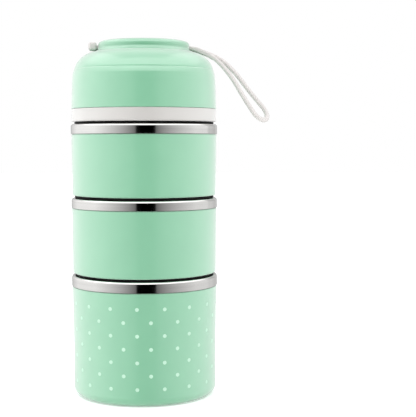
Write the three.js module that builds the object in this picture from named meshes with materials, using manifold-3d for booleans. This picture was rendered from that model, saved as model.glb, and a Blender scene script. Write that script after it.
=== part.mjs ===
// Three-tier tiffin carrier: a tall base pot, two lift-off tiers and a domed lid with a silicone carrying strap.
// Millimetres, +Z up. The origin is the centre of the underside, on the surface that the carrier stands on.
import * as THREE from "three";
import { mergeVertices } from "three/addons/utils/BufferGeometryUtils.js";
import Module from "manifold-3d";

const wasm = await Module();
wasm.setup();

// ---- Driving dimensions -------------------------------------------------------------------------------

// Facets: round bodies, small round pieces and the steps of each rounded corner.
const ROUND_SIDES = 32;
const SMALL_SIDES = 16;
const CORNER_STEPS = 3;
const WIDE_CORNER_STEPS = 4;
const FIT_GAP = 0.3;

// Steel bowls: every rim is the same, so the tiers and the lid interchange.
const RIM_RADIUS = 57.5;
const STEEL = 0.8;
const RIM_SHOULDER = 2.5;
const MOUTH_RADIUS = 52;
const MOUTH_LIP = 1.4;
const BOWL_CORNER = 12;

// Plastic shells around the bowls.
const SHELL_WALL = 2.2;
const SHELL_TOP_RADIUS = 57.1;
const REBATE_RADIUS = 56.3;
const REBATE_CHAMFER = 1.2;
const SHELL_FLOOR = 2.4;
const BOWL_AIR_GAP = 2;
const UPPER_SHELL_BOTTOM_RADIUS = 56.6;
const UPPER_SHELL_EDGE = 1.2;
const BASE_SHELL_BOTTOM_RADIUS = 56.3;
const BASE_SHELL_CORNER = 6;
const BASE_SHELL_FLARE_START = 42;
const BASE_GROOVE_RADIUS = 40;
const BASE_GROOVE_WIDTH = 2;
const BASE_GROOVE_DEPTH = 0.6;

// Heights of each tier: the shell's underside, the steel band's lower edge and the rim.
const TIERS = {
  base: { foot: 0, band: 86.7, rim: 95.1 },
  middle: { foot: 97.0, band: 148.1, rim: 155.7 },
  top: { foot: 157.8, band: 205.8, rim: 213.5 },
};

// Plug and seal under each upper tier and under the lid, which enter the mouth below.
const PLUG_RADIUS = 50.6;
const PLUG_WALL = 1.8;
const PLUG_DEPTH = 8;
const PLUG_CHAMFER = 1;
const SEAL_INNER_RADIUS = 51.0;
const SEAL_LIP_RADIUS = 51.7;
const SEAL_FLANGE_RADIUS = 54.8;
const SEAL_LIP_DEPTH = 4.9;

// Lid.
const LID_FOOT = 215.4;
const BAND_TOP = 225.3;
const BAND_RADIUS = 56.8;
const BAND_WALL = 3;
const BAND_EDGE = 1;
const BAND_SEAM = 0.5;
const DOME_WALL = 2.4;
const CREASE_HEIGHT = 255.9;
const CREASE_RADIUS = 54.9;
const CREASE_STEP = 0.35;
const PLATEAU_HEIGHT = 269.9;
const PLATEAU_RADIUS = 37.8;
const DOME_FOOT_RADIUS = 56.9;
// The dome's side between its foot and the crease, and the two points that pull the shoulder's curve above it.
const DOME_SIDE = [
  [56.6, 237],
  [56.3, 247],
  [55.9, 252],
];
const SHOULDER_PULL = [
  [53.2, 262.5],
  [47.5, 268.6],
];

// Knob cap, and the two screws that hold it.
const KNOB_TOP = 278.4;
const KNOB_RADIUS = 36.1;
const KNOB_WAIST_RADIUS = 35.5;
const KNOB_WAIST_HEIGHT = 273.6;
const KNOB_EDGE = 2.2;
const KNOB_FLARE_RADIUS = 36.6;
const KNOB_WALL = 2;
const BOSS_RADIUS = 4;
const BOSS_OFFSET = 18;
const SCREW_RADIUS = 1.5;
const SCREW_HEAD_RADIUS = 3.6;
const SCREW_HEAD_HEIGHT = 1.9;
const SCREW_CLEARANCE = 0.35;

// Silicone strap: a flat tongue through the knob, with a stopper at its left end and a loop at its right end.
const STRAP_WIDTH = 8.4;
const STRAP_THICKNESS = 3.2;
const STRAP_SLOT_PLAY = 0.4;
const TONGUE_HEIGHT = 273.4;
const TONGUE_END = 39.2;
const STOPPER = { inner: 36.7, outer: 43.4, width: 13, bottom: 271.3, top: 277.4, round: 2.2 };
const STRAP_PIVOT = { x: 41.5, z: 272.4 };
// The strap's middle line from its pivot to the tip of the loop, in the XZ plane.
const STRAP_LINE = [
  [41.5, 272.4],
  [51.2, 268.6],
  [60.7, 262.8],
  [71.0, 251.9],
  [80.9, 237.8],
  [90.2, 225.2],
  [96.8, 217.6],
];
const SPLIT_AT = 0.21; // share of the line where the strap divides into two limbs
const LIMB_RADIUS = 1.75;
const LIMB_SIDES = 8;
const SPLIT_HALF_WIDTH = 2;
const LOOP_HALF_WIDTH = 8.6;
const LOOP_END_LENGTH = 9;
const LOOP_TWIST = THREE.MathUtils.degToRad(35);

// ---- Materials ----------------------------------------------------------------------------------------

const finish = (color, roughness, metalness) =>
  new THREE.MeshStandardMaterial({ color, roughness, metalness });
const MINT_PLASTIC = finish(0xa3dcb9, 0.35, 0);
const WHITE_PLASTIC = finish(0xe9e7e2, 0.4, 0);
const POLISHED_STEEL = finish(0xc9c8c4, 0.15, 1);
const SCREW_STEEL = finish(0xa9abad, 0.35, 1);
const BLACK_SILICONE = finish(0x1b1b1b, 0.6, 0);
const PALE_SILICONE = finish(0xd8d3d0, 0.55, 0);

// ---- Helpers ------------------------------------------------------------------------------------------

const carrier = new THREE.Group();

function addPiece(name, geometry, material) {
  const piece = new THREE.Mesh(geometry, material);
  piece.name = name;
  carrier.add(piece);
}

const at = (radius, height) => new THREE.Vector2(radius, height);

// A rounded corner: points on a circle about (radius, height), from one angle to another in degrees.
function corner(radius, height, size, from, to, steps = CORNER_STEPS) {
  return Array.from({ length: steps + 1 }, (_, i) => {
    const angle = THREE.MathUtils.degToRad(from + ((to - from) * i) / steps);
    return at(radius + size * Math.cos(angle), height + size * Math.sin(angle));
  });
}

// Turns a profile of (radius, height) about +Z. It runs up the outside and comes down the inside.
function turned(profile, sides = ROUND_SIDES) {
  return new THREE.LatheGeometry(profile, sides).rotateX(Math.PI / 2);
}

function solidOf(geometry) {
  const bare = geometry.clone();
  bare.deleteAttribute("normal");
  bare.deleteAttribute("uv");
  const merged = mergeVertices(bare, 1e-4);
  const corners = merged.index.array;
  const faces = [];
  for (let i = 0; i < corners.length; i += 3) {
    const [a, b, c] = corners.slice(i, i + 3);
    if (a !== b && b !== c && c !== a) faces.push(a, b, c);
  }
  const mesh = new wasm.Mesh({
    numProp: 3,
    vertProperties: merged.attributes.position.array,
    triVerts: new Uint32Array(faces),
  });
  mesh.merge();
  return new wasm.Manifold(mesh);
}

function geometryOf(solid) {
  const mesh = solid.getMesh();
  const geometry = new THREE.BufferGeometry();
  geometry.setAttribute("position", new THREE.BufferAttribute(mesh.vertProperties, 3));
  geometry.setIndex(new THREE.BufferAttribute(mesh.triVerts, 1));
  return geometry;
}

const joined = (...shapes) =>
  geometryOf(shapes.map(solidOf).reduce((whole, next) => whole.add(next)));
const cut = (shape, ...tools) =>
  geometryOf(tools.map(solidOf).reduce((whole, tool) => whole.subtract(tool), solidOf(shape)));

function box(low, high) {
  const size = high.map((value, i) => value - low[i]);
  const middle = high.map((value, i) => (value + low[i]) / 2);
  return new THREE.BoxGeometry(...size).translate(...middle);
}

// ---- Tiers --------------------------------------------------------------------------------------------

const bowlFloor = (tier) => tier.foot + SHELL_FLOOR + BOWL_AIR_GAP + STEEL;

// A pressed steel bowl whose rim turns out and down over the shell, as the visible steel band.
function bowl(tier) {
  const skirt = RIM_RADIUS - STEEL;
  const shoulder = RIM_RADIUS - RIM_SHOULDER;
  const shoulderHeight = tier.rim - RIM_SHOULDER;
  const mouth = MOUTH_RADIUS + MOUTH_LIP;
  const mouthHeight = tier.rim - MOUTH_LIP;
  const floor = bowlFloor(tier);
  const bend = [MOUTH_RADIUS - BOWL_CORNER, floor + BOWL_CORNER];
  return turned([
    at(0, floor - STEEL),
    ...corner(...bend, BOWL_CORNER + STEEL, 270, 360, WIDE_CORNER_STEPS),
    ...corner(mouth, mouthHeight, MOUTH_LIP - STEEL, 180, 90, 2),
    ...corner(shoulder, shoulderHeight, RIM_SHOULDER - STEEL, 90, 0),
    at(skirt, tier.band),
    at(RIM_RADIUS, tier.band),
    ...corner(shoulder, shoulderHeight, RIM_SHOULDER, 0, 90),
    ...corner(mouth, mouthHeight, MOUTH_LIP, 90, 180, 2),
    ...corner(...bend, BOWL_CORNER, 360, 270, WIDE_CORNER_STEPS),
    at(0, floor),
  ]);
}

// The top of a shell steps in under the steel band, and its wall comes down inside to a flat floor.
function shellTopAndInside(tier, bottomRadius) {
  const shellTop = tier.band - FIT_GAP;
  const rebateTop = tier.rim - STEEL - 2 * FIT_GAP;
  const insideTop = REBATE_RADIUS - SHELL_WALL;
  const insideBottom = bottomRadius - SHELL_WALL - 0.3;
  const floor = tier.foot + SHELL_FLOOR;
  const round = 3;
  return [
    at(SHELL_TOP_RADIUS, shellTop),
    at(REBATE_RADIUS, shellTop),
    at(REBATE_RADIUS, rebateTop - REBATE_CHAMFER),
    at(REBATE_RADIUS - REBATE_CHAMFER, rebateTop),
    at(insideTop, rebateTop),
    ...corner(insideBottom - round, floor + round, round, 360, 270, 2),
    at(0, floor),
  ];
}

function upperShell(tier) {
  const edge = UPPER_SHELL_EDGE;
  return turned([
    at(0, tier.foot),
    ...corner(UPPER_SHELL_BOTTOM_RADIUS - edge, tier.foot + edge, edge, 270, 360, 2),
    ...shellTopAndInside(tier, UPPER_SHELL_BOTTOM_RADIUS),
  ]);
}

function baseShell(tier) {
  const size = BASE_SHELL_CORNER;
  const grooveInner = BASE_GROOVE_RADIUS - BASE_GROOVE_WIDTH;
  return turned([
    at(0, tier.foot),
    at(grooveInner, tier.foot),
    at(grooveInner, tier.foot + BASE_GROOVE_DEPTH),
    at(BASE_GROOVE_RADIUS, tier.foot + BASE_GROOVE_DEPTH),
    at(BASE_GROOVE_RADIUS, tier.foot),
    ...corner(BASE_SHELL_BOTTOM_RADIUS - size, tier.foot + size, size, 270, 360),
    at(BASE_SHELL_BOTTOM_RADIUS, BASE_SHELL_FLARE_START),
    ...shellTopAndInside(tier, BASE_SHELL_BOTTOM_RADIUS),
  ]);
}

// A dished plug, closed below and open above, where the shell's floor covers it.
function tierPlug(tier) {
  const low = tier.foot - PLUG_DEPTH;
  const high = tier.foot - FIT_GAP;
  const inside = PLUG_RADIUS - PLUG_WALL;
  return turned([
    at(0, low),
    at(PLUG_RADIUS - PLUG_CHAMFER, low),
    at(PLUG_RADIUS, low + PLUG_CHAMFER),
    at(PLUG_RADIUS, high),
    at(inside, high),
    at(inside, low + PLUG_WALL),
    at(0, low + PLUG_WALL),
  ]);
}

// A seal of L section: its flange lies on the rim below, and its lip lines the mouth.
function seal(foot, rimBelow) {
  const low = rimBelow + FIT_GAP;
  const high = foot - FIT_GAP;
  return turned([
    at(SEAL_INNER_RADIUS, low - SEAL_LIP_DEPTH),
    at(SEAL_LIP_RADIUS, low - SEAL_LIP_DEPTH),
    at(SEAL_LIP_RADIUS, low),
    at(SEAL_FLANGE_RADIUS, low),
    at(SEAL_FLANGE_RADIUS, high),
    at(SEAL_INNER_RADIUS, high),
    at(SEAL_INNER_RADIUS, low - SEAL_LIP_DEPTH),
  ]);
}

addPiece("base_shell", baseShell(TIERS.base), MINT_PLASTIC);
addPiece("base_bowl", bowl(TIERS.base), POLISHED_STEEL);
for (const [name, below] of [
  ["middle", "base"],
  ["top", "middle"],
]) {
  const tier = TIERS[name];
  addPiece(`${name}_shell`, upperShell(tier), MINT_PLASTIC);
  addPiece(`${name}_bowl`, bowl(tier), POLISHED_STEEL);
  addPiece(`${name}_plug`, tierPlug(tier), WHITE_PLASTIC);
  addPiece(`${name}_seal`, seal(tier.foot, TIERS[below].rim), BLACK_SILICONE);
}

// ---- Lid ----------------------------------------------------------------------------------------------

// The white inner lid: its upright band shows between the dome and the top tier, and its dish is the plug.
function innerLid() {
  const plugFloor = LID_FOOT - PLUG_DEPTH;
  const web = 2.6;
  const bandInside = BAND_RADIUS - BAND_WALL;
  const dishInside = PLUG_RADIUS - PLUG_WALL;
  return turned([
    at(0, plugFloor),
    at(PLUG_RADIUS - PLUG_CHAMFER, plugFloor),
    at(PLUG_RADIUS, plugFloor + PLUG_CHAMFER),
    at(PLUG_RADIUS, LID_FOOT),
    ...corner(BAND_RADIUS - BAND_EDGE, LID_FOOT + BAND_EDGE, BAND_EDGE, 270, 360, 2),
    at(BAND_RADIUS, BAND_TOP),
    at(bandInside, BAND_TOP),
    at(bandInside, LID_FOOT + web),
    at(dishInside, LID_FOOT + web),
    at(dishInside, plugFloor + PLUG_WALL),
    at(0, plugFloor + PLUG_WALL),
  ]);
}

// The dome's outline above its crease, as one smooth shoulder up to the plateau under the knob.
function shoulder(inset, steps) {
  const curve = new THREE.CubicBezierCurve(
    at(CREASE_RADIUS - CREASE_STEP - inset, CREASE_HEIGHT + 0.5),
    at(SHOULDER_PULL[0][0] - inset, SHOULDER_PULL[0][1] - inset * 0.6),
    at(SHOULDER_PULL[1][0] - inset, SHOULDER_PULL[1][1] - inset),
    at(PLATEAU_RADIUS - inset, PLATEAU_HEIGHT - inset),
  );
  return curve.getPoints(steps);
}

function dome() {
  const foot = BAND_TOP + BAND_SEAM;
  const outline = [
    at(DOME_FOOT_RADIUS, foot),
    ...DOME_SIDE.map((spot) => at(...spot)),
    at(CREASE_RADIUS, CREASE_HEIGHT),
    ...shoulder(0, 7),
  ];
  const inside = [
    ...shoulder(DOME_WALL, 5).reverse(),
    at(DOME_SIDE[1][0] - DOME_WALL, DOME_SIDE[1][1]),
    at(DOME_FOOT_RADIUS - DOME_WALL, foot),
  ];
  const hull = turned([...outline, at(0, PLATEAU_HEIGHT), at(0, PLATEAU_HEIGHT - DOME_WALL), ...inside, outline[0]]);
  const holes = [-1, 1].map((side) =>
    turned(
      [at(0, PLATEAU_HEIGHT - 5), at(SCREW_RADIUS + SCREW_CLEARANCE, PLATEAU_HEIGHT - 5)].concat(
        [at(SCREW_RADIUS + SCREW_CLEARANCE, PLATEAU_HEIGHT + 1), at(0, PLATEAU_HEIGHT + 1)],
      ),
      SMALL_SIDES,
    ).translate(0, side * BOSS_OFFSET, 0),
  );
  return cut(hull, ...holes);
}

const post = (radius, low, high, x, y) =>
  turned([at(0, low), at(radius, low), at(radius, high), at(0, high)], SMALL_SIDES).translate(x, y, 0);

// The knob: a hollow cap with a waist, two screw bosses and a slot through each side for the strap.
function knobCap() {
  const foot = PLATEAU_HEIGHT + FIT_GAP;
  const ceiling = KNOB_TOP - KNOB_WALL;
  const cap = turned([
    at(PLATEAU_RADIUS - 0.3, foot),
    at(KNOB_FLARE_RADIUS, foot + 1),
    at(KNOB_WAIST_RADIUS, KNOB_WAIST_HEIGHT),
    ...corner(KNOB_RADIUS - KNOB_EDGE, KNOB_TOP - KNOB_EDGE - 0.3, KNOB_EDGE, 0, 80),
    at(0, KNOB_TOP),
    at(0, ceiling),
    at(KNOB_WAIST_RADIUS - KNOB_WALL, ceiling),
    at(KNOB_WAIST_RADIUS - KNOB_WALL, foot),
    at(PLATEAU_RADIUS - 0.3, foot),
  ]);
  const bosses = [-1, 1].map((side) => post(BOSS_RADIUS, foot, ceiling + 0.5, 0, side * BOSS_OFFSET));
  const pilots = [-1, 1].map((side) =>
    post(SCREW_RADIUS + SCREW_CLEARANCE, foot - 1, ceiling - 0.4, 0, side * BOSS_OFFSET),
  );
  const halfWidth = STRAP_WIDTH / 2 + STRAP_SLOT_PLAY;
  const halfHeight = STRAP_THICKNESS / 2 + STRAP_SLOT_PLAY;
  const slot = box(
    [-STOPPER.outer, -halfWidth, TONGUE_HEIGHT - halfHeight],
    [STOPPER.outer, halfWidth, TONGUE_HEIGHT + halfHeight],
  );
  return cut(joined(cap, ...bosses), ...pilots, slot);
}

function knobScrew(side) {
  const seat = PLATEAU_HEIGHT - DOME_WALL - FIT_GAP;
  const tip = KNOB_TOP - KNOB_WALL - 1;
  return turned(
    [
      at(0, seat - SCREW_HEAD_HEIGHT),
      at(SCREW_HEAD_RADIUS - 0.8, seat - SCREW_HEAD_HEIGHT),
      at(SCREW_HEAD_RADIUS, seat - 0.6),
      at(SCREW_HEAD_RADIUS, seat),
      at(SCREW_RADIUS, seat),
      at(SCREW_RADIUS, tip - 1),
      at(0, tip),
    ],
    SMALL_SIDES,
  ).translate(0, side * BOSS_OFFSET, 0);
}

addPiece("inner_lid", innerLid(), WHITE_PLASTIC);
addPiece("lid_seal", seal(LID_FOOT, TIERS.top.rim), BLACK_SILICONE);
addPiece("lid_dome", dome(), MINT_PLASTIC);
addPiece("knob_cap", knobCap(), MINT_PLASTIC);
addPiece("knob_screw_front", knobScrew(-1), SCREW_STEEL);
addPiece("knob_screw_back", knobScrew(1), SCREW_STEEL);

// ---- Strap --------------------------------------------------------------------------------------------

const strapLine = new THREE.CatmullRomCurve3(
  STRAP_LINE.map(([x, z]) => new THREE.Vector3(x, 0, z)),
  false,
  "centripetal",
);

// A rectangle with bevelled corners, drawn about the origin.
function bevelledRectangle(width, height, bevel) {
  const [w, h] = [width / 2, height / 2];
  return new THREE.Shape([
    at(-w + bevel, -h),
    at(w - bevel, -h),
    at(w, -h + bevel),
    at(w, h - bevel),
    at(w - bevel, h),
    at(-w + bevel, h),
    at(-w, h - bevel),
    at(-w, -h + bevel),
  ]);
}

const swept = (shape, curve, steps) =>
  new THREE.ExtrudeGeometry(shape, { steps, extrudePath: curve, bevelEnabled: false });

// The stopper, which is wider than the slot, and the tongue that it holds in the knob.
function strapAnchor() {
  const { inner, outer, width, bottom, top, round } = STOPPER;
  const depth = outer - inner;
  const block = new THREE.ExtrudeGeometry(bevelledRectangle(depth, top - bottom, round * 0.6), {
    depth: width,
    bevelEnabled: false,
  });
  block.translate(0, 0, -width / 2).rotateX(Math.PI / 2);
  block.translate(-(inner + outer) / 2, 0, (top + bottom) / 2);
  const half = STRAP_THICKNESS / 2;
  const tongue = box(
    [-inner - 1, -STRAP_WIDTH / 2, TONGUE_HEIGHT - half],
    [TONGUE_END, STRAP_WIDTH / 2, TONGUE_HEIGHT + half],
  );
  return joined(block, tongue);
}

// The direction across the loop at a share of the strap's line, which turns towards the front and down.
function acrossLoop(share) {
  const tangent = strapLine.getTangentAt(share);
  const outward = new THREE.Vector3(-tangent.z, 0, tangent.x);
  const turn = LOOP_TWIST * THREE.MathUtils.smoothstep(share, 0, 0.5);
  return new THREE.Vector3(0, -Math.cos(turn), 0).addScaledVector(outward, -Math.sin(turn));
}

// One limb's middle line from the split to the round end, on the side given by +1 or -1.
function limb(side) {
  const length = strapLine.getLength();
  const roundFrom = 1 - LOOP_END_LENGTH / length;
  const place = (share, halfWidth) =>
    strapLine.getPointAt(share).addScaledVector(acrossLoop(share), side * halfWidth);
  const straight = [0, 0.25, 0.5, 0.75].map((t) => {
    const share = SPLIT_AT + (roundFrom - SPLIT_AT) * t;
    return place(share, THREE.MathUtils.lerp(SPLIT_HALF_WIDTH, LOOP_HALF_WIDTH, Math.pow(t, 1.25)));
  });
  const round = [0, 30, 60].map((degrees) => {
    const angle = THREE.MathUtils.degToRad(degrees);
    const share = roundFrom + (1 - roundFrom) * Math.sin(angle);
    return place(share, LOOP_HALF_WIDTH * Math.cos(angle));
  });
  return [...straight, ...round];
}

function strapLoop() {
  const tip = strapLine.getPointAt(1);
  const ring = new THREE.CatmullRomCurve3([...limb(1), tip, ...limb(-1).reverse()], false, "centripetal");
  const stemPoints = [0, 0.07, 0.14, 0.2, SPLIT_AT + 0.03].map((share) => strapLine.getPointAt(share));
  const stem = swept(
    bevelledRectangle(STRAP_WIDTH, STRAP_THICKNESS, 0.6),
    new THREE.CatmullRomCurve3(stemPoints, false, "centripetal"),
    8,
  );
  const section = new THREE.Shape(
    Array.from({ length: LIMB_SIDES }, (_, i) => {
      const angle = (2 * Math.PI * (i + 0.5)) / LIMB_SIDES;
      return at(LIMB_RADIUS * Math.cos(angle), LIMB_RADIUS * Math.sin(angle));
    }),
  );
  const root = new THREE.CylinderGeometry(STRAP_THICKNESS / 2, STRAP_THICKNESS / 2, STRAP_WIDTH, 12);
  root.translate(STRAP_PIVOT.x, 0, STRAP_PIVOT.z);
  return joined(stem, swept(section, ring, 44), root);
}

addPiece("strap_anchor", strapAnchor(), PALE_SILICONE);
addPiece("strap_loop", strapLoop(), PALE_SILICONE);

export default carrier;
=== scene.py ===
"""Three-tier tiffin carrier: the looks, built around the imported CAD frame.

Shapes are in millimetres until they become meshes, which are in metres.
+Z is up, -Y is the front, and the strap's loop hangs towards +X."""

import math

import bmesh
import bpy
import numpy as np
from mathutils import Matrix, Vector


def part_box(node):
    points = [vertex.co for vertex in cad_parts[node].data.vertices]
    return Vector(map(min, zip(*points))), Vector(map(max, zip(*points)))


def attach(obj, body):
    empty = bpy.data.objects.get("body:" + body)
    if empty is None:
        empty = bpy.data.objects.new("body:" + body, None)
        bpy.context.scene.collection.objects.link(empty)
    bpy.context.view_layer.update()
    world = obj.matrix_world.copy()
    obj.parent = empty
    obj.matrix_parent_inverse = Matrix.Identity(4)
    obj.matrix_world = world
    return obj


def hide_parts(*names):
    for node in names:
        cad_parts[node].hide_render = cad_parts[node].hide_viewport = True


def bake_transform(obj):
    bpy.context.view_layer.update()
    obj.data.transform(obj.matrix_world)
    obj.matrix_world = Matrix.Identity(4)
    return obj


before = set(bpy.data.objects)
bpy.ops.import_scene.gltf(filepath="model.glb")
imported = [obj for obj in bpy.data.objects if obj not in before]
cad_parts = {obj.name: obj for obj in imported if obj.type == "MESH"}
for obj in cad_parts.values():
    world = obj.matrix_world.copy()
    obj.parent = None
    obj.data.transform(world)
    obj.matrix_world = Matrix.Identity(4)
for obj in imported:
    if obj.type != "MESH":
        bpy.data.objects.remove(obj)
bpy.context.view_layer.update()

MM = 0.001
SIDES = 192  # facets round every turned piece
ARC_STEP = math.radians(9)  # the most that one facet of a rounded corner turns

# ---- Measures taken from the frame --------------------------------------------------------------------


def low(node):
    """A CAD node's lowest corner, in millimetres."""
    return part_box(node)[0] / MM


def high(node):
    """A CAD node's highest corner, in millimetres."""
    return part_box(node)[1] / MM


def height_at_radius(node, radius):
    """The lowest point, in millimetres, of what a CAD node has at this radius or beyond."""
    corners = [v.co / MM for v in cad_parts[node].data.vertices]
    return min(c.z for c in corners if math.hypot(c.x, c.y) >= radius)


RIM_RADIUS = high("base_bowl").x
TIERS = {
    name: {
        "foot": low(f"{name}_shell").z,
        "band": height_at_radius(f"{name}_bowl", RIM_RADIUS - 0.1),
        "rim": high(f"{name}_bowl").z,
        "floor": low(f"{name}_bowl").z,
    }
    for name in ("base", "middle", "top")
}

# ---- Dimensions in millimetres --------------------------------------------------------------------------
# Where the CAD model has the same measure, a value is its own unless a comment gives the CAD's.
# The small roundings written inside the outlines further down are the looks' own.

STEEL = 0.8
MOUTH_RADIUS = 52
BOWL_CORNER = 12
RIM_SHOULDER = 1.9  # CAD 2.5
RIM_INNER_SHOULDER = RIM_SHOULDER - 0.6
MOUTH_LIP = 1.4
POLISHED_DEPTH = 2.5  # how far the polish reaches into the mouth
SHELL_WALL = 2.2
SHELL_TOP_RADIUS = high("base_shell").x
REBATE_RADIUS = 56.3
SHELL_FLOOR = 2.4
UPPER_SHELL_FOOT_RADIUS = 56.6
BASE_SHELL_FOOT_RADIUS = 56.3
BASE_SHELL_CORNER = 7.5  # CAD 6
BASE_SHELL_FLARE_START = 42
PLUG_RADIUS = high("middle_plug").x
PLUG_WALL = 1.8
SEAL_INNER_RADIUS = 51.0
SEAL_LIP_RADIUS = 51.7
SEAL_FLANGE_RADIUS = high("lid_seal").x
BAND_RADIUS = high("inner_lid").x
BAND_WALL = 3
DOME_WALL = 2.4
CREASE_HEIGHT = 255.9
CREASE_RADIUS = 54.9
PLATEAU_RADIUS = 37.8
DOME_FOOT_RADIUS = 56.9
DOME_SIDE = [(56.6, 237, 60), (56.3, 247, 30), (55.9, 252, 20)]  # radius, height, corner size
SHOULDER_PULL = [(53.2, 262.5), (47.5, 268.6)]  # handles of the shoulder's curve
KNOB_RADIUS = 36.1
KNOB_WAIST_RADIUS = 35.5
KNOB_WAIST_HEIGHT = 272.6  # CAD 273.6
KNOB_FLARE_RADIUS = PLATEAU_RADIUS - 0.98  # CAD 36.6
KNOB_SEAM_LIFT = 0.83  # the knob's foot above the dome's plateau; CAD 0.3
KNOB_SIDE_HEIGHT = 274.9
KNOB_WALL = 2
BOSS_RADIUS = 4
BOSS_OFFSET = 18
SCREW_HOLE_RADIUS = 1.85
STRAP_WIDTH = 8.4
STRAP_THICKNESS = 3.2
TONGUE_HEIGHT = 273.4
STRAP_LINE = [
    (41.5, 272.4),
    (51.2, 268.6),
    (60.7, 262.8),
    (71.0, 251.9),
    (80.9, 237.8),
    (90.2, 225.2),
    (96.8, 217.6),
]
SPLIT_AT = 0.17  # share of the line where the strap divides into two limbs; CAD 0.21
SPLIT_OVERLAP = 0.02  # share of the line over which stem and limbs overlap, each side of the split
LOOP_HALF_WIDTH = 8.6
LOOP_END_LENGTH = 9
LOOP_TWIST = math.radians(35)
TWISTED_AT = 0.34  # share of the line by which the whole twist is reached; CAD 0.5
STEM_END = SPLIT_AT + SPLIT_OVERLAP
STEM_SWELL = [(0.0, 0.8), (0.06, 1.1), (0.12, 0.8), (0.17, 0.4)]  # share of the line, thickness added below
LIMB_WIDTH = 3.9  # CAD limbs are round, 3.5 across
SPLIT_HALF_WIDTH = 2.35  # CAD 2
STRAP_VOXEL = 0.26  # the mesh size that fuses the strap's parts
STRAP_SOFTENING = 32  # smoothing passes over the fused mesh
STOPPER_FROM, STOPPER_TO = 37.1, 43.4  # distance from the axis; CAD 36.7 to 43.4
STOPPER_BOTTOM, STOPPER_TOP = 270.9, 277.4  # CAD 271.3 to 277.4
STOPPER_HALF_WIDTH, STOPPER_HALF_HEIGHT = 6.2, 3.25  # CAD 6.5 and 3.05
STOPPER_FLAT = 4.4  # length of the stopper before its domed end

SCREW_HEAD_RADIUS = 3.6
SCREW_HEAD_HEIGHT = 1.9
THREAD_PITCH = 1.1
THREAD_ROOT, THREAD_CREST = 1.18, 1.5  # the CAD's shank is plain, 1.5
RECESS_LENGTH, RECESS_WIDTH, RECESS_REACH = 3.4, 0.75, 2.4

# ---- Mesh helpers -------------------------------------------------------------------------------------


def rounded(outline):
    """Turns an outline of (radius, height, corner size) into points, with each corner drawn as an arc."""
    points = []
    count = len(outline)
    for i, (r, z, size) in enumerate(outline):
        here = Vector((r, z))
        if size <= 0:
            points.append(here)
            continue
        before = Vector(outline[i - 1][:2]) - here
        after = Vector(outline[(i + 1) % count][:2]) - here
        angle = before.angle(after)
        reach = min(size / math.tan(angle / 2), 0.49 * before.length, 0.49 * after.length)
        size = reach * math.tan(angle / 2)
        centre = here + (before.normalized() + after.normalized()).normalized() * size / math.sin(angle / 2)
        start = here + before.normalized() * reach - centre
        end = here + after.normalized() * reach - centre
        turn = start.angle_signed(end)
        steps = max(2, math.ceil(abs(turn) / ARC_STEP))
        for k in range(steps + 1):
            a = -turn * k / steps
            c, s = math.cos(a), math.sin(a)
            points.append(centre + Vector((start.x * c - start.y * s, start.x * s + start.y * c)))
    return points


def braced(points, closed):
    """Adds a point just inside each end of a long straight stretch, to keep smooth shading flat there."""
    out = []
    count = len(points)
    for i, p in enumerate(points):
        out.append(p)
        if i == count - 1 and not closed:
            break
        q = points[(i + 1) % count]
        length = (q - p).length
        if length > 1.5:
            out += [p.lerp(q, 0.25 / length), p.lerp(q, 1 - 0.25 / length)]
    return out


def link(mesh, name):
    piece = bpy.data.objects.new(name, mesh)
    bpy.context.scene.collection.objects.link(piece)
    return piece


def smooth(mesh, degrees=32):
    mesh.polygons.foreach_set("use_smooth", [True] * len(mesh.polygons))
    mesh.set_sharp_from_angle(angle=math.radians(degrees))


def turned(name, outline, sides=SIDES, closed=False):
    """A solid turned about Z from an outline in millimetres. An open one starts and ends on the axis."""
    points = braced(rounded(outline) if len(outline[0]) == 3 else outline, closed)
    vertices, rings = [], []
    for p in points:
        on_axis = p[0] < 1e-6
        rings.append((len(vertices), on_axis))
        if on_axis:
            vertices.append((0, 0, p[1] * MM))
            continue
        for k in range(sides):
            a = 2 * math.pi * k / sides
            vertices.append((p[0] * MM * math.cos(a), p[0] * MM * math.sin(a), p[1] * MM))
    faces = []
    spans = len(points) if closed else len(points) - 1
    for i in range(spans):
        (a, a_axis), (b, b_axis) = rings[i], rings[(i + 1) % len(points)]
        for k in range(sides):
            n = (k + 1) % sides
            if a_axis:
                faces.append((a, b + n, b + k))
            elif b_axis:
                faces.append((a + k, a + n, b))
            else:
                faces.append((a + k, a + n, b + n, b + k))
    mesh = bpy.data.meshes.new(name)
    mesh.from_pydata(vertices, [], faces)
    smooth(mesh)
    return link(mesh, name)


def apply_modifiers(piece):
    """Replaces a piece's mesh by what its modifiers make of it."""
    graph = bpy.context.evaluated_depsgraph_get()
    mesh = bpy.data.meshes.new_from_object(piece.evaluated_get(graph))
    piece.modifiers.clear()
    piece.data = mesh
    return piece


def combine(piece, operation, *tools):
    """Joins tools to a piece, or cuts them from it, and takes the tools away."""
    for tool in tools:
        boolean = piece.modifiers.new("combine", "BOOLEAN")
        boolean.operation = operation
        boolean.solver = "EXACT"
        boolean.object = tool
    apply_modifiers(piece)
    for tool in tools:
        bpy.data.objects.remove(tool)
    smooth(piece.data)
    return piece


def place(piece, body, slot, *nodes):
    """Rides a finished piece on its body, in place of its CAD nodes, with the finish of its slot."""
    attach(piece, body)
    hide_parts(*nodes)
    piece.data.materials.clear()
    piece.data.materials.append(FINISHES[slot])
    return piece


# ---- Materials ----------------------------------------------------------------------------------------


RING_DRIFT = 0.0006  # how little a ring's noise changes round the ring


def add_node(tree, kind, inputs=None, **settings):
    """Makes a shader node; each input is given a constant or a link."""
    made = tree.nodes.new(kind)
    for key, value in settings.items():
        setattr(made, key, value)
    for socket, value in (inputs or {}).items():
        if isinstance(value, bpy.types.NodeSocket):
            tree.links.new(value, made.inputs[socket])
        else:
            made.inputs[socket].default_value = value
    return made


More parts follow.
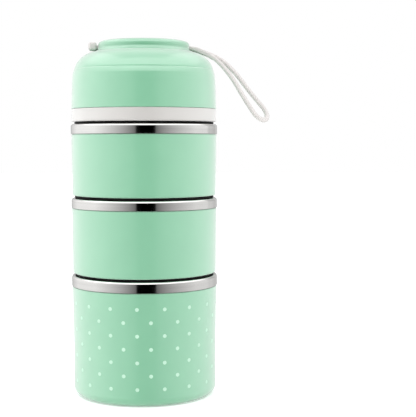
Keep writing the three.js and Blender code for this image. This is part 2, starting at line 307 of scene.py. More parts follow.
class Finish:
    """A principled material with a few short ways to add procedural detail."""

    def __init__(self, name, **constants):
        self.material = bpy.data.materials.new(name)
        self.material.use_nodes = True
        self.tree = self.material.node_tree
        self.shader = self.tree.nodes["Principled BSDF"]
        self.place = self.tree.nodes.new("ShaderNodeTexCoord").outputs["Object"]
        self.height = None
        for socket, value in constants.items():
            self.shader.inputs[socket.replace("_", " ")].default_value = value

    def node(self, kind, inputs=None, **settings):
        return add_node(self.tree, kind, inputs, **settings)

    def noise(self, scale, detail=3, roughness=0.5, stretch=None):
        where = self.place
        if stretch:
            where = self.node("ShaderNodeMapping", {"Vector": where, "Scale": stretch}).outputs[0]
        settings = {"Vector": where, "Scale": scale, "Detail": detail, "Roughness": roughness}
        return self.node("ShaderNodeTexNoise", settings).outputs["Fac"]

    def ring_noise(self, scale, detail=2):
        """Noise that runs round the Z axis: it changes with radius and height, barely round the ring."""
        parts = self.node("ShaderNodeSeparateXYZ", {"Vector": self.place}).outputs
        across = self.math("SQRT", self.math("ADD", self.square(parts["X"]), self.square(parts["Y"])))
        turn = self.math("ARCTAN2", parts["Y"], parts["X"])
        lazy = self.math("MULTIPLY", turn, RING_DRIFT)
        where = self.node("ShaderNodeCombineXYZ", {"X": across, "Y": lazy, "Z": parts["Z"]}).outputs[0]
        settings = {"Vector": where, "Scale": scale, "Detail": detail, "Roughness": 0.6}
        return self.node("ShaderNodeTexNoise", settings).outputs["Fac"]

    def math(self, operation, a, b=0.0):
        return self.node("ShaderNodeMath", {0: a, 1: b}, operation=operation).outputs[0]

    def square(self, value):
        return self.math("MULTIPLY", value, value)

    def spread(self, value, low_out, high_out, low_in=0.3, high_in=0.7):
        """Maps a noise value to a range."""
        sockets = {"Value": value, "From Min": low_in, "From Max": high_in}
        sockets |= {"To Min": low_out, "To Max": high_out}
        return self.node("ShaderNodeMapRange", sockets).outputs["Result"]

    def tint(self, factor, first, second):
        """Colours the surface between two colours."""
        mix = self.node("ShaderNodeMix", data_type="RGBA")
        self.tree.links.new(factor, mix.inputs["Factor"])
        mix.inputs["A"].default_value = (*first, 1)
        mix.inputs["B"].default_value = (*second, 1)
        self.tree.links.new(mix.outputs["Result"], self.shader.inputs["Base Color"])

    def rough(self, value):
        self.tree.links.new(value, self.shader.inputs["Roughness"])

    def bump(self, value, millimetres, strength=1.0):
        """Adds relief of about this height on top of any relief added before."""
        sockets = {"Height": value, "Distance": millimetres * MM, "Strength": strength}
        made = self.node("ShaderNodeBump", sockets)
        if self.height:
            self.tree.links.new(self.height, made.inputs["Normal"])
        self.height = made.outputs["Normal"]
        self.tree.links.new(self.height, self.shader.inputs["Normal"])


def moulded_plastic(name, light, deep, roughness, **constants):
    """Injection-moulded plastic: fine spark-eroded grain, slow colour drift and faint handling smears."""
    finish = Finish(name, **constants)
    finish.tint(finish.spread(finish.noise(55, 4), 0, 1), light, deep)
    smear = finish.noise(38, 5, 0.65, stretch=(1, 1, 0.35))
    finish.rough(finish.spread(smear, roughness - 0.02, roughness + 0.03))
    finish.bump(finish.noise(2600, 2), 0.003, 0.4)
    finish.bump(finish.noise(90, 2), 0.004, 0.3)
    return finish.material


def polished_steel():
    """Mirror-polished rim with fine hairlines round it."""
    finish = Finish("polished_steel", Metallic=1.0)
    finish.tint(finish.spread(finish.ring_noise(900), 0, 1), (0.80, 0.79, 0.775), (0.74, 0.73, 0.715))
    finish.rough(finish.spread(finish.noise(120, 4), 0.07, 0.13))
    finish.bump(finish.ring_noise(2400), 0.001, 0.3)
    return finish.material


def satin_steel():
    """Spun bowl: brushed rings that follow the turning."""
    finish = Finish("satin_steel", Metallic=1.0)
    finish.tint(finish.spread(finish.ring_noise(700), 0, 1), (0.76, 0.755, 0.745), (0.69, 0.685, 0.675))
    finish.rough(finish.spread(finish.noise(40, 2), 0.24, 0.3))
    finish.bump(finish.ring_noise(1600), 0.003, 0.5)
    return finish.material


def plated_steel():
    finish = Finish("screw_steel", Metallic=1.0)
    finish.tint(finish.spread(finish.noise(900, 3), 0, 1), (0.62, 0.63, 0.65), (0.50, 0.51, 0.53))
    finish.rough(finish.spread(finish.noise(700, 3), 0.28, 0.45))
    finish.bump(finish.noise(2200, 2), 0.004, 0.4)
    return finish.material


def silicone(name, light, deep, roughness, **constants):
    """Moulded silicone: matte skin with a slow colour drift and a soft grain."""
    finish = Finish(name, **constants)
    finish.tint(finish.spread(finish.noise(90, 3), 0, 1), light, deep)
    finish.rough(finish.spread(finish.noise(70, 2), roughness - 0.05, roughness + 0.07))
    finish.bump(finish.noise(250, 1), 0.002, 0.25)
    return finish.material


def printed_ink():
    """Pale pad-printed dots, slightly uneven where the ink is thin."""
    finish = Finish("printed_ink")
    finish.tint(finish.spread(finish.noise(1500, 3), 0, 1), (0.52, 0.77, 0.62), (0.46, 0.71, 0.56))
    finish.rough(finish.spread(finish.noise(900, 3), 0.36, 0.46))
    finish.bump(finish.noise(2600, 2), 0.004, 0.4)
    return finish.material


GLOSS = {"IOR": 2.2, "Sheen_Weight": 0.85, "Sheen_Roughness": 0.52}
DULL = {"Specular_IOR_Level": 0.15}
MINT = (0.227, 0.539, 0.342), (0.219, 0.525, 0.333)
WHITE = (0.592, 0.577, 0.555), (0.577, 0.563, 0.541)
# The seals' near-black colour is partly a dark silicone's own and partly painted shadow, darkening the gap
# between the tiers.
SEAL_BLACK_AND_GAP_SHADE = (0.004, 0.004, 0.004), (0.007, 0.007, 0.007)
PALE_GREY = (0.69, 0.66, 0.645), (0.665, 0.635, 0.62)

FINISHES = {
    "mint_plastic": moulded_plastic("mint_plastic", *MINT, 0.17, **GLOSS),
    "white_plastic": moulded_plastic("white_plastic", *WHITE, 0.18, **GLOSS),
    "polished_steel": polished_steel(),
    "screw_steel": plated_steel(),
    # Seals: near-black, partly dark silicone, partly painted shadow in the gap between the tiers.
    "black_silicone": silicone("black_silicone", *SEAL_BLACK_AND_GAP_SHADE, 0.65, **DULL),
    "pale_silicone": silicone("pale_silicone", *PALE_GREY, 0.42),
}
SATIN_STEEL = satin_steel()
PRINTED_INK = printed_ink()

# ---- Tiers --------------------------------------------------------------------------------------------


def bowl(name):
    """The pressed steel bowl: polished band and rim, brushed inside."""
    tier = TIERS[name]
    floor, rim, band = tier["floor"], tier["rim"], tier["band"]
    outline = [
        (0, floor, 0),
        (MOUTH_RADIUS + STEEL, floor, BOWL_CORNER + STEEL),
        (MOUTH_RADIUS + STEEL, rim - STEEL, 0.7),
        (RIM_RADIUS - STEEL, rim - STEEL, RIM_INNER_SHOULDER),
        (RIM_RADIUS - STEEL, band, 0.3),
        (RIM_RADIUS, band, 0.35),
        (RIM_RADIUS, rim, RIM_SHOULDER),
        (MOUTH_RADIUS, rim, MOUTH_LIP),
        (MOUTH_RADIUS, floor + STEEL, BOWL_CORNER),
        (0, floor + STEEL, 0),
    ]
    piece = turned(f"{name}_bowl_pressing", outline)
    body = "base" if name == "base" else f"{name}_tier"
    place(piece, body, "polished_steel", f"{name}_bowl")
    piece.data.materials.append(SATIN_STEEL)
    for face in piece.data.polygons:
        x, y, z = face.center / MM
        face.material_index = int(math.hypot(x, y) < MOUTH_RADIUS + 0.2 and z < rim - POLISHED_DEPTH)
    return piece


def shell_inside(tier, foot_radius):
    """A shell's outline from its top edge under the steel band down to its inner floor."""
    top, rebate = tier["band"] - 0.3, tier["rim"] - STEEL - 0.6
    floor = tier["foot"] + SHELL_FLOOR
    return [
        (SHELL_TOP_RADIUS, top, 0.35),
        (REBATE_RADIUS, top, 0.1),
        (REBATE_RADIUS, rebate, 1.4),
        (REBATE_RADIUS - SHELL_WALL, rebate, 0.4),
        (foot_radius - SHELL_WALL - 0.3, floor, 3),
        (0, floor, 0),
    ]


def upper_shell(name):
    tier = TIERS[name]
    outline = [
        (0, tier["foot"], 0),
        (UPPER_SHELL_FOOT_RADIUS, tier["foot"], 1.2),
        *shell_inside(tier, UPPER_SHELL_FOOT_RADIUS),
    ]
    return place(turned(f"{name}_shell_moulding", outline), f"{name}_tier", "mint_plastic", f"{name}_shell")


def base_shell():
    tier = TIERS["base"]
    outline = [
        (0, 0, 0),
        (38, 0, 0.25),
        (38.15, 0.6, 0.2),
        (39.85, 0.6, 0.2),
        (40, 0, 0.25),
        (BASE_SHELL_FOOT_RADIUS, 0, BASE_SHELL_CORNER),
        (BASE_SHELL_FOOT_RADIUS, BASE_SHELL_FLARE_START, 60),
        *shell_inside(tier, BASE_SHELL_FOOT_RADIUS),
    ]
    return place(turned("base_shell_moulding", outline), "base", "mint_plastic", "base_shell")


# Printed dots: staggered rows round the base pot.
DOT_RADIUS = 1.5
DOT_COLUMNS = 17
DOT_ROWS = 7
DOT_LOWEST_ROW = 14.0
DOT_ROW_PITCH = 10.1
DOT_FIRST_ANGLE = -6.1  # degrees towards +X from the front
INK_PROUD = 0.045


def shell_radius(height):
    """The base shell's outer radius at a height."""
    top = TIERS["base"]["band"]
    share = max(0.0, (height - BASE_SHELL_FLARE_START) / (top - BASE_SHELL_FLARE_START))
    return BASE_SHELL_FOOT_RADIUS + (SHELL_TOP_RADIUS - BASE_SHELL_FOOT_RADIUS) * share


def printed_dots():
    rings = [(0.5, INK_PROUD), (0.86, INK_PROUD), (0.97, INK_PROUD * 0.6), (1.0, -0.05)]
    around = 20
    vertices, faces = [], []
    for row in range(DOT_ROWS):
        height = DOT_LOWEST_ROW + DOT_ROW_PITCH * row
        for column in range(DOT_COLUMNS):
            step = 2 * math.pi / DOT_COLUMNS
            angle = math.radians(DOT_FIRST_ANGLE) + step * (column + 0.5 * (row % 2))
            first = len(vertices)
            spots = [(0, 0, INK_PROUD)] + [
                (
                    DOT_RADIUS * share * math.cos(2 * math.pi * k / around),
                    DOT_RADIUS * share * math.sin(2 * math.pi * k / around),
                    proud,
                )
                for share, proud in rings
                for k in range(around)
            ]
            for across, up, proud in spots:
                z = height + up
                r = shell_radius(z) + proud
                a = angle + across / r
                vertices.append((r * math.sin(a) * MM, -r * math.cos(a) * MM, z * MM))
            for k in range(around):
                n = (k + 1) % around
                faces.append((first, first + 1 + k, first + 1 + n))
                for ring in range(len(rings) - 1):
                    a, b = first + 1 + ring * around, first + 1 + (ring + 1) * around
                    faces.append((a + k, b + k, b + n, a + n))
            last = first + 1 + (len(rings) - 1) * around
            faces.append(tuple(last + k for k in reversed(range(around))))
    mesh = bpy.data.meshes.new("base_printed_dots")
    mesh.from_pydata(vertices, [], faces)
    smooth(mesh, 60)
    mesh.materials.append(PRINTED_INK)
    piece = link(mesh, "base_printed_dots")
    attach(piece, "base")
    return piece


def plug_underside(foot):
    """Outline of a plug's underside: the gate mark at the middle, then the groove near the edge."""
    return [
        (0, foot + 0.5, 0),
        (2.2, foot + 0.5, 0.2),
        (2.6, foot, 0.3),
        (36, foot, 0.3),
        (36.6, foot + 0.7, 0.3),
        (40.4, foot + 0.7, 0.3),
        (41, foot, 0.3),
        (PLUG_RADIUS, foot, 1.2),
    ]


def tier_plug(name):
    """The dished plug under a tier."""
    foot, top = low(f"{name}_plug").z, high(f"{name}_plug").z
    outline = [
        *plug_underside(foot),
        (PLUG_RADIUS, top, 0.4),
        (PLUG_RADIUS - PLUG_WALL, top, 0.4),
        (PLUG_RADIUS - PLUG_WALL, foot + PLUG_WALL + 0.4, 1.5),
        (0, foot + PLUG_WALL + 0.4, 0),
    ]
    return place(turned(f"{name}_plug_moulding", outline), f"{name}_tier", "white_plastic", f"{name}_plug")


def seal(node, body):
    """A seal of L section whose lip carries two sealing beads. Its near-black colour is partly a dark
    silicone's own and partly painted shadow for the gap between the tiers.
    """
    foot, top = low(node).z, high(node).z
    flange = height_at_radius(node, SEAL_FLANGE_RADIUS - 0.1)
    middle = SEAL_LIP_RADIUS - 0.25
    outline = [
        (SEAL_INNER_RADIUS, foot, 0.15),
        (middle, foot, 0.2),
        (middle, foot + 0.7, 0.2),
        (SEAL_LIP_RADIUS, foot + 1.2, 0.3),
        (middle, foot + 1.7, 0.2),
        (middle, foot + 2.6, 0.2),
        (SEAL_LIP_RADIUS, foot + 3.1, 0.3),
        (middle, foot + 3.6, 0.2),
        (middle, flange, 0.3),
        (SEAL_FLANGE_RADIUS, flange, 0.5),
        (SEAL_FLANGE_RADIUS, top, 0.5),
        (SEAL_INNER_RADIUS, top, 0.2),
    ]
    return place(turned(f"{node}_ring", outline, closed=True), body, "black_silicone", node)


# ---- Lid ----------------------------------------------------------------------------------------------


def inner_lid():
    foot, top = low("inner_lid").z, high("inner_lid").z
    underside = height_at_radius("inner_lid", BAND_RADIUS - 2)
    web = 2.6
    outline = [
        *plug_underside(foot),
        (PLUG_RADIUS, underside, 0.2),
        (BAND_RADIUS, underside, 1.1),
        (BAND_RADIUS, top, 0.35),
        (BAND_RADIUS - BAND_WALL, top, 0.3),
        (BAND_RADIUS - BAND_WALL, underside + web, 0.8),
        (PLUG_RADIUS - PLUG_WALL, underside + web, 0.5),
        (PLUG_RADIUS - PLUG_WALL, foot + PLUG_WALL + 0.4, 1),
        (0, foot + PLUG_WALL + 0.4, 0),
    ]
    return place(turned("inner_lid_moulding", outline), "lid", "white_plastic", "inner_lid")


def bezier(a, b, c, d, steps):
    spots = []
    for i in range(steps + 1):
        t = i / steps
        u = 1 - t
        spots.append(a * u**3 + b * (3 * u * u * t) + c * (3 * u * t * t) + d * t**3)
    return spots


DOME_LAP = 0.25  # how much of the seam over the white band the dome's edge closes; CAD none
# The step that the knob sits on: distances out and up from the plateau's edge.
KNOB_SEAT = [(0.0, 0.06), (-0.42, 0.27), (-0.74, 0.52), (-0.95, 0.8), (-1.7, 0.8), (-1.8, 0.0)]


def dome_outline():
    """The dome's outside, from its foot over the crease and the shoulder to the plateau under the knob."""
    foot, plateau = low("lid_dome").z - DOME_LAP, high("lid_dome").z
    wall = rounded(
        [
            (50, foot, 0),
            (DOME_FOOT_RADIUS, foot, 0.4),
            *DOME_SIDE,
            (CREASE_RADIUS, CREASE_HEIGHT - 0.35, 0.5),
            (CREASE_RADIUS - 0.4, CREASE_HEIGHT + 0.05, 0.3),
            (CREASE_RADIUS - 0.5, CREASE_HEIGHT + 0.8, 0),
        ]
    )[1:-1]
    shoulder = bezier(
        Vector((CREASE_RADIUS - 0.42, CREASE_HEIGHT + 0.4)),
        *(Vector(handle) for handle in SHOULDER_PULL),
        Vector((PLATEAU_RADIUS + 0.6, plateau - 0.1)),
        32,
    )
    flare = [Vector((PLATEAU_RADIUS + dr, plateau + dz)) for dr, dz in KNOB_SEAT]
    return wall + shoulder + flare


def lid_dome():
    foot, plateau = low("lid_dome").z - DOME_LAP, high("lid_dome").z
    outer_pull, inner_pull = SHOULDER_PULL
    inner_shoulder = bezier(
        Vector((PLATEAU_RADIUS - DOME_WALL, plateau - DOME_WALL)),
        Vector((inner_pull[0] - DOME_WALL, inner_pull[1] - DOME_WALL)),
        Vector((outer_pull[0] - DOME_WALL, outer_pull[1] - 0.6 * DOME_WALL)),
        Vector((DOME_SIDE[1][0] - DOME_WALL, DOME_SIDE[1][1])),
        16,
    )
    outline = [
        *dome_outline(),
        Vector((0, plateau)),
        Vector((0, plateau - DOME_WALL)),
        *inner_shoulder,
        Vector((DOME_FOOT_RADIUS - DOME_WALL, foot)),
    ]
    dome = turned("lid_dome_moulding", outline, closed=True)
    holes = [screw_post("dome_hole", SCREW_HOLE_RADIUS, plateau - 5, plateau + 1, side) for side in (-1, 1)]
    return place(combine(dome, "DIFFERENCE", *holes), "lid", "mint_plastic", "lid_dome")


def screw_post(name, radius, bottom, top, side):
    """A plain post about a knob screw's axis: a boss, or the tool that cuts a hole."""
    post = turned(name, [(0, bottom, 0), (radius, bottom, 0), (radius, top, 0), (0, top, 0)], sides=32)
    post.data.transform(Matrix.Translation((0, side * BOSS_OFFSET * MM, 0)))
    return post


def slot_tool(half_width, half_height, height, reach):
    """A long bar of rounded section along X, used to cut the strap's slots."""
    section = strap_section(2 * half_width, 2 * half_height, 1.2)
    count = len(section)
    vertices = [(x * MM, p.x * MM, (height + p.y) * MM) for x in (-reach, reach) for p in section]
    faces = [(k, (k + 1) % count, count + (k + 1) % count, count + k) for k in range(count)]
    faces += [tuple(reversed(range(count))), tuple(range(count, 2 * count))]
    mesh = bpy.data.meshes.new("slot_tool")
    mesh.from_pydata(vertices, [], faces)
    mesh.update()
    return link(mesh, "slot_tool")


def knob_cap():
    foot, top = low("knob_cap").z, high("knob_cap").z
    seam = high("lid_dome").z + KNOB_SEAM_LIFT
    ceiling = top - KNOB_WALL
    outline = [
        (KNOB_FLARE_RADIUS, seam, 0),
        (KNOB_WAIST_RADIUS, KNOB_WAIST_HEIGHT, 3),
        (KNOB_RADIUS - 0.1, KNOB_SIDE_HEIGHT, 4),
        (KNOB_RADIUS - 1, top - 0.95, 3),
        (KNOB_RADIUS - 4, top - 0.1, 4),
        (0, top, 0),
        (0, ceiling, 0),
        (KNOB_WAIST_RADIUS - KNOB_WALL, ceiling, 1),
        (KNOB_WAIST_RADIUS - KNOB_WALL, seam, 0.1),
    ]
    cap = turned("knob_cap_moulding", outline, closed=True)
    half_width, half_height = STRAP_WIDTH / 2 + 0.4, STRAP_THICKNESS / 2 + 0.4
    posts = [screw_post("knob_boss", BOSS_RADIUS, seam + 0.4, ceiling + 0.5, side) for side in (-1, 1)]
    combine(cap, "UNION", *posts)
    pilot = "knob_pilot", SCREW_HOLE_RADIUS, foot - 3, ceiling - 0.4
    pilots = [screw_post(*pilot, side) for side in (-1, 1)]
    combine(cap, "DIFFERENCE", *pilots, slot_tool(half_width, half_height, TONGUE_HEIGHT, 45))
    return place(cap, "lid", "mint_plastic", "knob_cap")


def knob_screw(node, side):
    """A pan-head screw with a cross recess and a thread drawn as separate rings."""
    head, seat, tip = low(node).z, low(node).z + SCREW_HEAD_HEIGHT, high(node).z
    thread = []
    for i in range(int((tip - seat - 2) / THREAD_PITCH)):
        base = seat + 0.8 + i * THREAD_PITCH
        thread += [
            (THREAD_ROOT, base, 0.1),
            (THREAD_CREST, base + 0.4, 0.08),
            (THREAD_CREST, base + 0.55, 0.08),
            (THREAD_ROOT, base + 0.95, 0.1),
        ]
    outline = [
        (0, head, 0),
        (2.8, head, 1.0),
        (SCREW_HEAD_RADIUS, head + 1.2, 0.5),
        (SCREW_HEAD_RADIUS, seat, 0.15),
        (1.2, seat, 0.1),
        *thread,
        (1.1, tip - 1, 0.2),
        (0, tip, 0),
    ]
    screw = turned(f"{node}_body", outline, sides=48)
    bars = []
    for length, width in ((RECESS_LENGTH, RECESS_WIDTH), (RECESS_WIDTH, RECESS_LENGTH)):
        mesh = bpy.data.meshes.new("recess")
        shape = bmesh.new()
        bmesh.ops.create_cube(shape, size=1)
        bmesh.ops.scale(shape, vec=(length * MM, width * MM, RECESS_REACH * MM), verts=shape.verts)
        bmesh.ops.translate(shape, vec=(0, 0, head * MM), verts=shape.verts)
        shape.to_mesh(mesh)
        shape.free()
        bars.append(link(mesh, "recess"))
    combine(screw, "DIFFERENCE", *bars)
    screw.data.transform(Matrix.Translation((0, side * BOSS_OFFSET * MM, 0)))
    return place(screw, "lid", "screw_steel", node)


# ---- Strap --------------------------------------------------------------------------------------------


def spline(points, share):
    """A point on the centripetal Catmull-Rom curve through some points, at a share of its knots."""
    knots = [Vector(p) for p in points]
    knots = [2 * knots[0] - knots[1], *knots, 2 * knots[-1] - knots[-2]]
    spans = len(points) - 1
    i = min(int(share * spans), spans - 1)
    p = knots[i : i + 4]
    t = [0.0]
    for a, b in zip(p, p[1:]):
        t.append(t[-1] + math.sqrt((b - a).length))
    x = t[1] + (t[2] - t[1]) * (share * spans - i)

    def mix(a, b, ta, tb):
        return a * ((tb - x) / (tb - ta)) + b * ((x - ta) / (tb - ta))

    a = [mix(p[k], p[k + 1], t[k], t[k + 1]) for k in range(3)]
    b = [mix(a[k], a[k + 1], t[k], t[k + 2]) for k in range(2)]
    return mix(b[0], b[1], t[1], t[2])


def even_line(points, count):
    """Evenly spaced points along the spline."""
    fine = [spline(points, k / 600) for k in range(601)]
    gone = [0.0]
    for a, b in zip(fine, fine[1:]):
        gone.append(gone[-1] + (b - a).length)
    wanted = np.linspace(0, gone[-1], count)
    columns = [np.interp(wanted, gone, [p[axis] for p in fine]) for axis in range(len(fine[0]))]
    return [Vector(p) for p in zip(*columns)], gone[-1]


LINE, LINE_LENGTH = even_line([(x, 0, z) for x, z in STRAP_LINE], 401)


def on_line(share):
    """The strap's middle line at a share of its length: point, way across the strap, way out of its face."""
    at = min(max(share, 0.0), 1.0) * (len(LINE) - 1)
    i = min(int(at), len(LINE) - 2)
    spot = LINE[i].lerp(LINE[i + 1], at - i)
    ahead = (LINE[min(i + 6, len(LINE) - 1)] - LINE[max(i - 6, 0)]).normalized()
    outward = Vector((-ahead.z, 0, ahead.x))
    t = min(max(share / TWISTED_AT, 0.0), 1.0)
    turn = LOOP_TWIST * t * t * (3 - 2 * t)
    across = Vector((0, -math.cos(turn), 0)) - outward * math.sin(turn)
    face = outward * math.cos(turn) + Vector((0, -math.sin(turn), 0))
    return spot, across, face


def strap_section(width, thickness, corner):
    half, deep = width / 2, thickness / 2
    return rounded([(x, y, corner) for x, y in ((-half, -deep), (half, -deep), (half, deep), (-half, deep))])


def sweep(shape, stations):
    """Adds a closed tube to a bmesh: each station is (centre, sideways, outward, section)."""
    rings = []
    for centre, sideways, outward, section in stations:
        rings.append([shape.verts.new((centre + sideways * p.x + outward * p.y) * MM) for p in section])
    count = len(rings[0])
    for a, b in zip(rings, rings[1:]):
        for k in range(count):
            shape.faces.new((a[k], a[(k + 1) % count], b[(k + 1) % count], b[k]))
    shape.faces.new(list(reversed(rings[0])))
    shape.faces.new(rings[-1])


def limb_offset(t):
    """Half the distance between the limbs, from the split at 0 to the start of the round end at 1."""
    return SPLIT_HALF_WIDTH + (LOOP_HALF_WIDTH - SPLIT_HALF_WIDTH) * t**1.25


def loop_centres():
    """The loop's middle line: down the near limb, round the end and back up the far limb."""
    round_from = 1 - LOOP_END_LENGTH / LINE_LENGTH
    near, far = [], []
    for k in range(60):
        t = k / 59
        share = SPLIT_AT - SPLIT_OVERLAP + (round_from - SPLIT_AT + SPLIT_OVERLAP) * t
        spot, across, _ = on_line(share)
        near.append((spot + across * limb_offset(t), share))
        far.append((spot - across * limb_offset(t), share))
    end = []
    for k in range(1, 36):
        angle = math.pi * k / 36
        share = round_from + (1 - round_from) * math.sin(angle)
        spot, across, _ = on_line(share)
        end.append((spot + across * LOOP_HALF_WIDTH * math.cos(angle), share))
    return near + end + far[::-1]


def strap():
    """One silicone moulding: the stopper, the tongue through the knob, the stem and the loop."""
    shape = bmesh.new()
    tongue = strap_section(STRAP_WIDTH, STRAP_THICKNESS, 1.1)
    lead = [(-39.5, 0, TONGUE_HEIGHT), (-20, 0, TONGUE_HEIGHT), (10, 0, TONGUE_HEIGHT), (34, 0, 273.3)]
    path, _ = even_line(lead + [(x, 0, z) for x, z in STRAP_LINE[:2]], 60)
    flat = Vector((0, -1, 0))
    stations = [(p, flat, Vector((0, 0, 1)), tongue) for p in path if p.x < 37]
    for k in range(30):
        share = STEM_END * k / 29
        spot, across, face = on_line(share)
        extra = float(np.interp(share, *zip(*STEM_SWELL)))
        section = strap_section(STRAP_WIDTH, STRAP_THICKNESS + extra, 1.1)
        stations.append((spot - face * extra / 2, across, face, section))
    sweep(shape, stations)

    limb_shape = strap_section(LIMB_WIDTH, STRAP_THICKNESS, 1.25)
    centres = loop_centres()
    stations = []
    for i, (centre, share) in enumerate(centres):
        ahead = (centres[min(i + 1, len(centres) - 1)][0] - centres[max(i - 1, 0)][0]).normalized()
        face = on_line(share)[2]
        sideways = ahead.cross(face).normalized()
        stations.append((centre, sideways, sideways.cross(ahead), limb_shape))
    sweep(shape, stations)

    stopper = []
    middle = (STOPPER_BOTTOM + STOPPER_TOP) / 2
    for x, size in stopper_outline():
        wide, tall = STOPPER_HALF_WIDTH * size, STOPPER_HALF_HEIGHT * size
        section = [
            Vector((wide * squircle(math.cos(a)), tall * squircle(math.sin(a))))
            for a in np.linspace(0, 2 * math.pi, 48, endpoint=False)
        ]
        stopper.append((Vector((-x, 0, middle)), Vector((0, 1, 0)), Vector((0, 0, 1)), section))
    sweep(shape, stopper)

    mesh = bpy.data.meshes.new("carrying_strap")
    bmesh.ops.recalc_face_normals(shape, faces=shape.faces)
    shape.to_mesh(mesh)
    shape.free()
    piece = link(mesh, "carrying_strap")
    remesh = piece.modifiers.new("fuse", "REMESH")
    remesh.mode = "VOXEL"
    remesh.voxel_size = STRAP_VOXEL * MM
    remesh.use_smooth_shade = True
    soften = piece.modifiers.new("soften", "SMOOTH")
    soften.factor = 0.5
    soften.iterations = STRAP_SOFTENING
    return apply_modifiers(piece)


def squircle(value):
    """Fattens a circle's coordinate towards a rounded rectangle's."""
    return math.copysign(abs(value) ** 0.36, value)


def stopper_outline():
    """Stations along the stopper, as distance and size: flat against the knob, domed at its outer end."""
    inner, flat_end = STOPPER_FROM, STOPPER_FROM + STOPPER_FLAT
    spots = [(inner, 0.94), (inner + 0.12, 0.98), (inner + 0.35, 1.0), (flat_end, 0.99)]
    for k in range(1, 9):
        angle = math.radians(10 * k)
        distance = flat_end + (STOPPER_TO - inner - STOPPER_FLAT) * math.sin(angle)
        spots.append((distance, max(math.cos(angle), 0.12) ** 0.6))
    return spots


# ---- Assembly -----------------------------------------------------------------------------------------

base_shell()
printed_dots()
bowl("base")
for tier_name, seat in (("middle", "middle_tier"), ("top", "top_tier")):
    upper_shell(tier_name)
    bowl(tier_name)
    tier_plug(tier_name)
    seal(f"{tier_name}_seal", seat)
inner_lid()
seal("lid_seal", "lid")
lid_dome()
knob_cap()
knob_screw("knob_screw_front", -1)
knob_screw("knob_screw_back", 1)

carrying_strap = strap()
carrying_strap.data.materials.clear()
carrying_strap.data.materials.append(FINISHES["pale_silicone"])
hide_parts("strap_anchor", "strap_loop")
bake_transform(carrying_strap)

# ---- Camera -------------------------------------------------------------------------------------------

CAMERA_PLACE = Vector((0, -0.858, 0.1995))
CAMERA_PITCH = math.radians(-3.519)
CAMERA_YAW = math.radians(-3.366)
CAMERA_ROLL = math.radians(-0.05)
CAMERA_LENS = 93.36

camera = bpy.data.objects.new("camera", bpy.data.cameras.new("camera"))
camera.data.lens = CAMERA_LENS
camera.data.sensor_width = 36
camera.data.clip_start, camera.data.clip_end = 0.05, 30
turn_up = Matrix.Rotation(math.pi / 2 + CAMERA_PITCH, 4, "X")
turn_side = Matrix.Rotation(CAMERA_YAW, 4, "Z")
roll = Matrix.Rotation(CAMERA_ROLL, 4, "Z")
camera.matrix_world = Matrix.Translation(CAMERA_PLACE) @ turn_side @ turn_up @ roll
bpy.context.scene.collection.objects.link(camera)
bpy.context.scene.camera = camera

# ---- Studio -------------------------------------------------------------------------------------------
# Brightness is next to a wall of 1, and angles are in degrees.

TENT_LEFT, TENT_RIGHT = 1.12, 0.94  # brightness of the white tent beside the object
TENT_TOP = 1.78
ROOF = 0.58  # how bright the roof is, next to the walls
ROOF_LEFT, ROOF_RIGHT, ROOF_FRONT = -0.46, 0.41, 0.27  # the roof's edges, for a roof 1 above the object
ROOF_EDGE = 0.02  # half the width over which the roof's edges fade
ROOF_REAR = 0.6, 1.5  # for the same roof, how far behind the object it begins and ends its fall to REAR
REAR = 0.45  # straight behind the object
REAR_FROM, REAR_TO = 130, 175  # off the front, over which the walls fall to REAR
LOW_WALL = 0.86  # the foot of the walls
LOW_FROM, LOW_TO = -10, 3  # above the horizon, over which the walls rise from LOW_WALL
UNDERFOOT_FROM, UNDERFOOT_TO = -50, -18
UNDERFOOT = 0.2  # towards the ground under the object
GAP_FROM, GAP_TO = 14.3, 86.0  # off the front: where the dark gap for the camera ends, and the tent is whole
GAP_EDGE = 0.13  # brightness just outside the gap
GAP_EDGE_WIDTH = 1.5
GAP_OFF_CENTRE = 2.3
GAP_CURVE = 0.8
OPEN_FROM, OPEN_TO = 20.0, 34.0  # above the horizon, over which the gap closes
SEAM_FROM, SEAM_TO = 124.0, 148.0  # towards the right, where two panels of the tent meet
SEAM_FADE_IN, SEAM_FADE_OUT = 10, 6
SEAM_DEPTH = 0.12, 0.36  # how much the seam darkens, below and above
SEAM_DEPTH_FROM, SEAM_DEPTH_TO = -5, 4


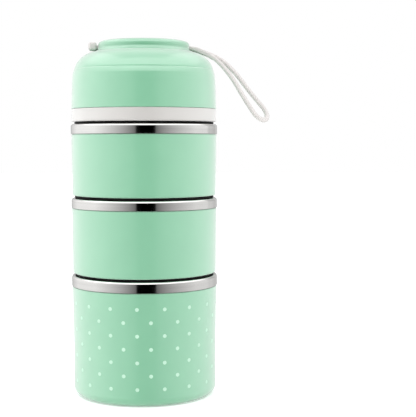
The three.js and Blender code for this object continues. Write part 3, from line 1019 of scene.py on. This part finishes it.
def tent():
    """A white tent with a dark gap at the front where the camera looks in. The camera itself sees white."""
    world = bpy.data.worlds.new("tent")
    world.use_nodes = True
    tree = world.node_tree
    background = tree.nodes["Background"]

    def node(kind, inputs=None, **settings):
        return add_node(tree, kind, inputs, **settings)

    def calculate(operation, a, b=0.0):
        return node("ShaderNodeMath", {0: a, 1: b}, operation=operation).outputs[0]

    def ramp(value, start, end, low_out, high_out, kind="LINEAR"):
        sockets = {"Value": value, "From Min": start, "From Max": end}
        sockets |= {"To Min": low_out, "To Max": high_out}
        return node("ShaderNodeMapRange", sockets, interpolation_type=kind).outputs["Result"]

    def sweep_ramp(angle, start, end, low_out, high_out, kind="LINEAR"):
        return ramp(angle, math.radians(start), math.radians(end), low_out, high_out, kind)

    way = node("ShaderNodeSeparateXYZ", {0: node("ShaderNodeTexCoord").outputs["Generated"]}).outputs
    azimuth = calculate("ARCTAN2", way["X"], calculate("MULTIPLY", way["Y"], -1.0))
    off_front = calculate("ABSOLUTE", calculate("SUBTRACT", azimuth, math.radians(GAP_OFF_CENTRE)))
    elevation = calculate("ARCSINE", way["Z"])
    beside = ramp(way["X"], -1, 1, TENT_LEFT, TENT_RIGHT)
    behind = sweep_ramp(calculate("ABSOLUTE", azimuth), REAR_FROM, REAR_TO, 1, REAR)
    height = sweep_ramp(elevation, LOW_FROM, LOW_TO, LOW_WALL, 1)
    ground = sweep_ramp(elevation, UNDERFOOT_FROM, UNDERFOOT_TO, UNDERFOOT, 1)
    height = calculate("MULTIPLY", height, ground)
    walls = calculate("MULTIPLY", calculate("MULTIPLY", beside, behind), height)
    reach = calculate("POWER", sweep_ramp(off_front, GAP_FROM, GAP_TO, 0, 1), GAP_CURVE)
    opened = ramp(reach, 0, 1, GAP_EDGE, 1)
    edge = sweep_ramp(off_front, GAP_FROM, GAP_FROM + GAP_EDGE_WIDTH, 0, 1)
    seam_in = sweep_ramp(azimuth, SEAM_FROM - SEAM_FADE_IN, SEAM_FROM, 0, 1, "SMOOTHSTEP")
    seam_out = sweep_ramp(azimuth, SEAM_TO, SEAM_TO + SEAM_FADE_OUT, 1, 0, "SMOOTHSTEP")
    depth = sweep_ramp(elevation, SEAM_DEPTH_FROM, SEAM_DEPTH_TO, *SEAM_DEPTH)
    darkening = calculate("MULTIPLY", depth, calculate("MULTIPLY", seam_in, seam_out))
    seam = calculate("SUBTRACT", 1.0, darkening)
    low_part = calculate("MULTIPLY", walls, seam)
    low_part = calculate("MULTIPLY", low_part, calculate("MULTIPLY", opened, edge))
    above = calculate("MAXIMUM", way["Z"], 0.01)
    roof_x = calculate("DIVIDE", way["X"], above)
    roof_y = calculate("DIVIDE", way["Y"], above)
    roof = ramp(roof_x, ROOF_LEFT - ROOF_EDGE, ROOF_LEFT + ROOF_EDGE, 0, 1)
    roof = calculate("MULTIPLY", roof, ramp(roof_x, ROOF_RIGHT - ROOF_EDGE, ROOF_RIGHT + ROOF_EDGE, 1, 0))
    roof = calculate("MULTIPLY", roof, ramp(roof_y, -ROOF_FRONT - ROOF_EDGE, -ROOF_FRONT + ROOF_EDGE, 0, 1))
    high_part = calculate("MULTIPLY", calculate("MULTIPLY", beside, TENT_TOP), ramp(roof, 0, 1, 1, ROOF))
    high_part = calculate("MULTIPLY", high_part, ramp(roof_y, *ROOF_REAR, 1, REAR))
    rise = sweep_ramp(elevation, OPEN_FROM, OPEN_TO, 0, 1, "SMOOTHSTEP")
    upper = calculate("MULTIPLY", high_part, rise)
    lower = calculate("MULTIPLY", low_part, calculate("SUBTRACT", 1.0, rise))
    seen = node("ShaderNodeLightPath").outputs["Is Camera Ray"]
    strength = calculate("MAXIMUM", calculate("ADD", upper, lower), seen)
    tree.links.new(strength, background.inputs["Strength"])
    background.inputs["Color"].default_value = (1, 1, 1, 1)
    return world


def studio():
    scene = bpy.context.scene
    scene.view_settings.view_transform = "Standard"
    scene.world = tent()

    mesh = bpy.data.meshes.new("floor")
    reach = 6
    corners = [(-reach, -reach, 0), (reach, -reach, 0), (reach, reach, 0), (-reach, reach, 0)]
    mesh.from_pydata(corners, [], [(0, 1, 2, 3)])
    floor = link(mesh, "floor")
    floor.visible_glossy = False
    paper = Finish("floor_paper", Roughness=0.9, Emission_Color=(1, 1, 1, 1), Emission_Strength=0.3)
    paper.tint(paper.spread(paper.noise(40, 4), 0, 1), (0.93, 0.93, 0.93), (0.91, 0.91, 0.91))
    paper.bump(paper.noise(300, 3), 0.02, 0.2)
    mesh.materials.append(paper.material)


studio()
